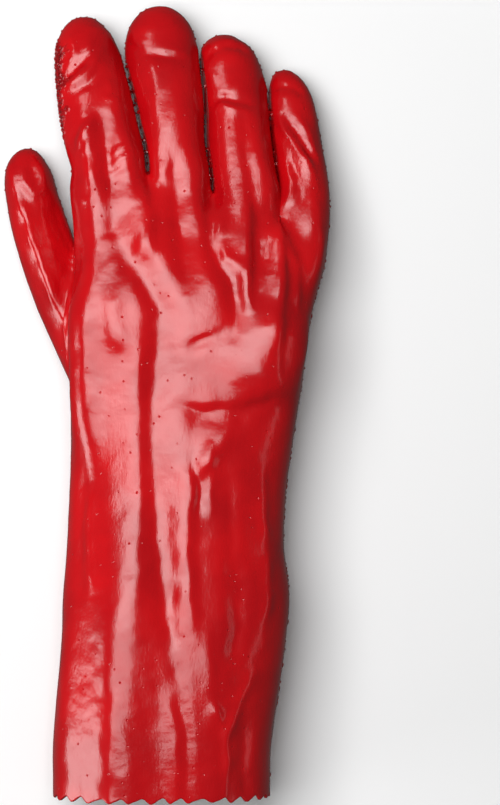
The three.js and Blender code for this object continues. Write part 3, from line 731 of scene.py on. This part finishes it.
def red_pvc():
    """Glossy red coat: a little cloudy, the knit just showing through it, with pits; dark and grainy on the palm."""
    material, tree, shader = principled("red_pvc")
    here = tree.nodes.new("ShaderNodeTexCoord").outputs["Object"]
    palm = tree.nodes.new("ShaderNodeAttribute")
    palm.attribute_name = "palm"
    cloudy = ramp(tree, noise(tree, here, BACK_CLOUD, 3), (0.35, BACK_DEEP), (0.62, BACK_RED))
    dark = ramp(tree, noise(tree, here, PALM_CLOUD, 2), (0.35, PALM_DEEP), (0.7, PALM_RED))
    tree.links.new(mix(tree, palm.outputs["Fac"], cloudy, dark), shader.inputs["Base Color"])
    knit = bump(tree, noise(tree, here, KNIT, 2, (1, 3.2, 1)), KNIT_DEPTH)
    ripple = bump(tree, noise(tree, here, RIPPLE, 2, (2.4, 1, 1)), RIPPLE_DEPTH, knit)
    swell = bump(tree, noise(tree, here, SWELL, 2), SWELL_DEPTH, ripple)
    pits = tree.nodes.new("ShaderNodeTexVoronoi")
    pits.inputs["Scale"].default_value = 1 / (PIT_SPACING * MM)
    tree.links.new(here, pits.inputs["Vector"])
    pit = ramp(tree, pits.outputs["Distance"], (0.0, BLACK), (0.11, WHITE))
    pitted = bump(tree, pit, PIT_DEPTH, swell)
    grain = tree.nodes.new("ShaderNodeMath")
    grain.operation = "MULTIPLY"
    tree.links.new(noise(tree, here, GRAIN, 2), grain.inputs[0])
    tree.links.new(palm.outputs["Fac"], grain.inputs[1])
    tree.links.new(bump(tree, grain.outputs["Value"], GRAIN_DEPTH, pitted), shader.inputs["Normal"])
    shader.inputs["Roughness"].default_value = COAT_ROUGHNESS
    shader.inputs["IOR"].default_value = PVC_IOR
    return material


def cloth_backing():
    """The pale knitted cloth that the coat is laid on, seen inside the cuff."""
    material, tree, shader = principled("cloth_backing")
    here = tree.nodes.new("ShaderNodeTexCoord").outputs["Object"]
    weave = noise(tree, here, WEAVE, 2, (1, 2.5, 1))
    tree.links.new(ramp(tree, weave, (0.35, CLOTH_SHADE), (0.65, CLOTH)), shader.inputs["Base Color"])
    tree.links.new(bump(tree, weave, WEAVE_DEPTH), shader.inputs["Normal"])
    shader.inputs["Roughness"].default_value = CLOTH_ROUGHNESS
    return material


def palm_grit():
    """The chips set in the palm's coat."""
    material, _, shader = principled("palm_grit")
    shader.inputs["Base Color"].default_value = (*PALM_RED, 1)
    shader.inputs["Roughness"].default_value = CHIP_ROUGHNESS
    shader.inputs["IOR"].default_value = PVC_IOR
    return material


coat, cloth, grit = red_pvc(), cloth_backing(), palm_grit()
glove.data.materials.append(coat)
glove.data.materials.append(cloth)
index = np.zeros(len(faces), int)
index[inside_from:inside_to] = 1
glove.data.polygons.foreach_set("material_index", index)
glove.data.attributes.new("palm", "FLOAT", "POINT").data.foreach_set("value", palm)


def chip_tree():
    """Chips scattered over the palm side of a skin, laid flat on it and sunk halfway in."""
    tree = bpy.data.node_groups.new("palm_chips", "GeometryNodeTree")
    face = tree.interface
    face.new_socket("Geometry", in_out="INPUT", socket_type="NodeSocketGeometry")
    for name in ("Spacing", "Gauntlet_Chip", "Finger_Chip", "Thickness", "Web_Place"):
        face.new_socket(name, in_out="INPUT", socket_type="NodeSocketFloat")
    face.new_socket("Geometry", in_out="OUTPUT", socket_type="NodeSocketGeometry")
    nodes, link = tree.nodes, tree.links.new
    given, result = nodes.new("NodeGroupInput"), nodes.new("NodeGroupOutput")

    palm_here = nodes.new("GeometryNodeInputNamedAttribute")
    palm_here.data_type = "FLOAT"
    palm_here.inputs["Name"].default_value = "palm"
    scatter = nodes.new("GeometryNodeDistributePointsOnFaces")
    scatter.distribute_method = "POISSON"
    scatter.inputs["Density Max"].default_value = CHIP_DENSITY
    scatter.inputs["Seed"].default_value = 7
    link(given.outputs["Geometry"], scatter.inputs["Mesh"])
    link(given.outputs["Spacing"], scatter.inputs["Distance Min"])
    link(palm_here.outputs["Attribute"], scatter.inputs["Density Factor"])

    where = nodes.new("GeometryNodeInputPosition")
    split = nodes.new("ShaderNodeSeparateXYZ")
    link(where.outputs["Position"], split.inputs["Vector"])
    size = nodes.new("ShaderNodeMapRange")
    link(split.outputs["Y"], size.inputs["Value"])
    size.inputs["From Min"].default_value = WRIST_PLACE * MM
    link(given.outputs["Web_Place"], size.inputs["From Max"])
    link(given.outputs["Gauntlet_Chip"], size.inputs["To Min"])
    link(given.outputs["Finger_Chip"], size.inputs["To Max"])

    odd = nodes.new("FunctionNodeRandomValue")
    odd.data_type = "FLOAT_VECTOR"
    odd.inputs["Min"].default_value = (0.55, 0.5, 0.8)
    odd.inputs["Max"].default_value = (1.25, 1.0, 1.1)
    odd.inputs["Seed"].default_value = 3
    flat = nodes.new("ShaderNodeCombineXYZ")
    link(size.outputs["Result"], flat.inputs["X"])
    link(size.outputs["Result"], flat.inputs["Y"])
    link(given.outputs["Thickness"], flat.inputs["Z"])
    scale = nodes.new("ShaderNodeVectorMath")
    scale.operation = "MULTIPLY"
    link(odd.outputs["Value"], scale.inputs[0])
    link(flat.outputs["Vector"], scale.inputs[1])

    spin = nodes.new("FunctionNodeRandomValue")
    spin.data_type = "FLOAT_VECTOR"
    spin.inputs["Min"].default_value = (0, 0, 0)
    spin.inputs["Max"].default_value = (0, 0, 6.28)
    spin.inputs["Seed"].default_value = 5
    turn = nodes.new("FunctionNodeRotateRotation")
    turn.rotation_space = "LOCAL"
    link(scatter.outputs["Rotation"], turn.inputs["Rotation"])
    link(spin.outputs["Value"], turn.inputs["Rotate By"])

    chip = nodes.new("GeometryNodeMeshIcoSphere")
    chip.inputs["Radius"].default_value = 0.5
    chip.inputs["Subdivisions"].default_value = 1
    lay = nodes.new("GeometryNodeInstanceOnPoints")
    link(scatter.outputs["Points"], lay.inputs["Points"])
    link(chip.outputs["Mesh"], lay.inputs["Instance"])
    link(turn.outputs["Rotation"], lay.inputs["Rotation"])
    link(scale.outputs["Vector"], lay.inputs["Scale"])
    real = nodes.new("GeometryNodeRealizeInstances")
    link(lay.outputs["Instances"], real.inputs["Geometry"])
    paint = nodes.new("GeometryNodeSetMaterial")
    paint.inputs["Material"].default_value = grit
    link(real.outputs["Geometry"], paint.inputs["Geometry"])
    link(paint.outputs["Geometry"], result.inputs["Geometry"])
    return tree


def palm_chips(skin_object):
    """The chips of the palm as one plain mesh."""
    carrier = place("chip_carrier", skin_object.data.copy())
    modifier = carrier.modifiers.new("chips", "NODES")
    modifier.node_group = chip_tree()
    sizes = {
        "Spacing": CHIP_SPACING * MM, "Gauntlet_Chip": GAUNTLET_CHIP * MM, "Finger_Chip": FINGER_CHIP * MM,
        "Thickness": CHIP_THICKNESS * MM, "Web_Place": (WEB_Y + shift[1]) * MM,
    }
    for item in modifier.node_group.interface.items_tree:
        if item.in_out == "INPUT" and item.name in sizes:
            modifier[item.identifier] = sizes[item.name]
    ready = carrier.evaluated_get(bpy.context.evaluated_depsgraph_get())
    mesh = bpy.data.meshes.new_from_object(ready)
    bpy.data.objects.remove(carrier)
    for vertex in mesh.vertices:
        vertex.co.z = max(vertex.co.z, CHIP_FLOOR * MM)
    mesh.name = "palm_chips"
    return place("palm_chips", mesh)


chips = palm_chips(glove)
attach(glove, "root")
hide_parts("glove_shell")
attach(chips, "root")

# Floor and lights. The floor takes shadows but doesn't show in the coat, which keeps the sides deep red.
FLOOR_CORNERS = [(-3, -3), (3, -3), (3, 3), (-3, 3)]
PAPER_WHITE = (0.97, 0.97, 0.97, 1)
floor_mesh = bpy.data.meshes.new("floor")
floor_mesh.from_pydata([(x, y, 0) for x, y in FLOOR_CORNERS], [], [(0, 1, 2, 3)])
floor = place("floor", floor_mesh)
paper, _, shader = principled("paper")
shader.inputs["Base Color"].default_value = PAPER_WHITE
shader.inputs["Roughness"].default_value = 0.9
floor.data.materials.append(paper)
floor.visible_glossy = False
floor.visible_diffuse = False


def softbox(name, spot, turn, size, glow):
    """A soft light of a given brightness, turned by degrees from facing straight down."""
    data = bpy.data.lights.new(name, "AREA")
    data.shape = "RECTANGLE"
    data.size, data.size_y = size
    data.energy = glow * math.pi * size[0] * size[1]
    light = place(name, data)
    light.location = spot
    light.rotation_euler = [math.radians(a) for a in turn]


# The three overhead ones lie in each other, so that their reflection in the coat fades out at its rim.
softbox("overhead_box", (-0.42, 0.21, 1.27), (0, 0, 0), (1.2, 0.84), 3.4)
softbox("overhead_core", (-0.46, 0.28, 1.26), (0, 0, 0), (0.9, 0.38), 2.8)
softbox("overhead_halo", (-0.46, 0.24, 1.28), (0, 0, 0), (1.4, 1.0), 1.4)
softbox("finger_box", (-0.85, 1.02, 1.27), (0, 0, 0), (0.5, 0.45), 5.0)
softbox("left_box", (-1.2, -0.38, 0.24), (0, -90, 0), (0.44, 0.6), 6.6)
softbox("right_card", (1.3, -0.25, 0.75), (0, 60, 0), (0.2, 0.9), 0.8)

ROOM_LIGHT = 0.1
world = bpy.data.worlds.new("room")
world.use_nodes = True
world.node_tree.nodes["Background"].inputs["Color"].default_value = (1, 1, 1, 1)
world.node_tree.nodes["Background"].inputs["Strength"].default_value = ROOM_LIGHT
bpy.context.scene.world = world
bpy.context.scene.view_settings.view_transform = "Standard"
